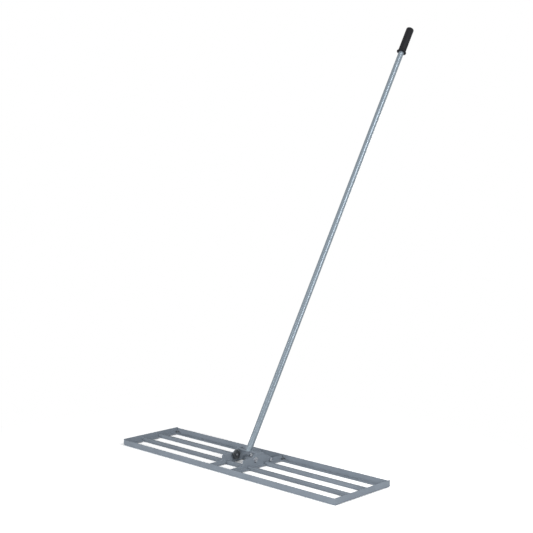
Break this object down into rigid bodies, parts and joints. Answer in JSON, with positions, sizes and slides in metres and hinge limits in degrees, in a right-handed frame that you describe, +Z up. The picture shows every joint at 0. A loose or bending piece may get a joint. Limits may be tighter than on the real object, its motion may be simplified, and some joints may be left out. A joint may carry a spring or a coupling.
{
  "type": "lawn leveling rake",
  "caption": "Wide flat head of angle rails and square bars that drags over a lawn, with a long tube handle on a tilting yoke clamped by a star knob.",
  "frame": {"origin": "on the ground, under the middle of the front rail's sole", "axes": "+Z up, +X along the head, +Y from the front rail to the rear rail, which is the way the handle leans"},
  "size_m": [1.2192, 1.2522, 1.8573],
  "materials": {
    "coated_steel": "blue-grey silver powder coat, satin",
    "coated_tube": "light silver coat, semi-gloss",
    "zinc": "bright zinc plate",
    "grip_rubber": "matt black",
    "knob_plastic": "matt black moulding"
  },
  "bodies": {
    "head": {"front_rail": "coated_steel", "rear_rail": "coated_steel", "left_end": "coated_steel", "right_end": "coated_steel", "front_inner_bar": "coated_steel", "rear_inner_bar": "coated_steel", "left_bracket": "coated_steel", "right_bracket": "coated_steel", "front_left_corner_bolt": "zinc", "front_left_corner_nut": "zinc", "front_right_corner_bolt": "zinc", "front_right_corner_nut": "zinc", "rear_left_corner_bolt": "zinc", "rear_left_corner_nut": "zinc", "rear_right_corner_bolt": "zinc", "rear_right_corner_nut": "zinc", "front_left_bracket_bolt": "zinc", "front_left_bracket_nut": "zinc", "front_right_bracket_bolt": "zinc", "front_right_bracket_nut": "zinc", "rear_left_bracket_bolt": "zinc", "rear_left_bracket_nut": "zinc", "rear_right_bracket_bolt": "zinc", "rear_right_bracket_nut": "zinc", "left_pivot_bolt": "zinc", "left_pivot_nut": "zinc", "right_pivot_bolt": "zinc", "right_pivot_nut": "zinc"},
    "handle": {"left_yoke_plate": "coated_steel", "right_yoke_plate": "coated_steel", "cross_bar": "coated_steel", "lower_tube": "coated_tube", "upper_tube": "coated_tube", "joint_sleeve": "coated_tube", "joint_screw": "zinc", "grip": "grip_rubber", "left_clamp_bolt": "zinc", "left_clamp_washer": "zinc", "right_clamp_bolt": "zinc", "right_clamp_washer": "zinc", "right_clamp_nut": "zinc"},
    "knob": {"clamp_knob": "knob_plastic"}
  },
  "joints": [
    {"name": "handle_tilt", "type": "hinge", "parent": "head", "child": "handle", "pos_m": [0, 0.217, 0.0166], "axis": [1, 0, 0], "range_deg": [-3, 7]},
    {"name": "knob_turn", "type": "hinge", "parent": "handle", "child": "knob", "pos_m": [-0.0499, 0.1346, 0.0329], "axis": [1, 0, 0], "range_deg": [0, 360]}
  ]
}
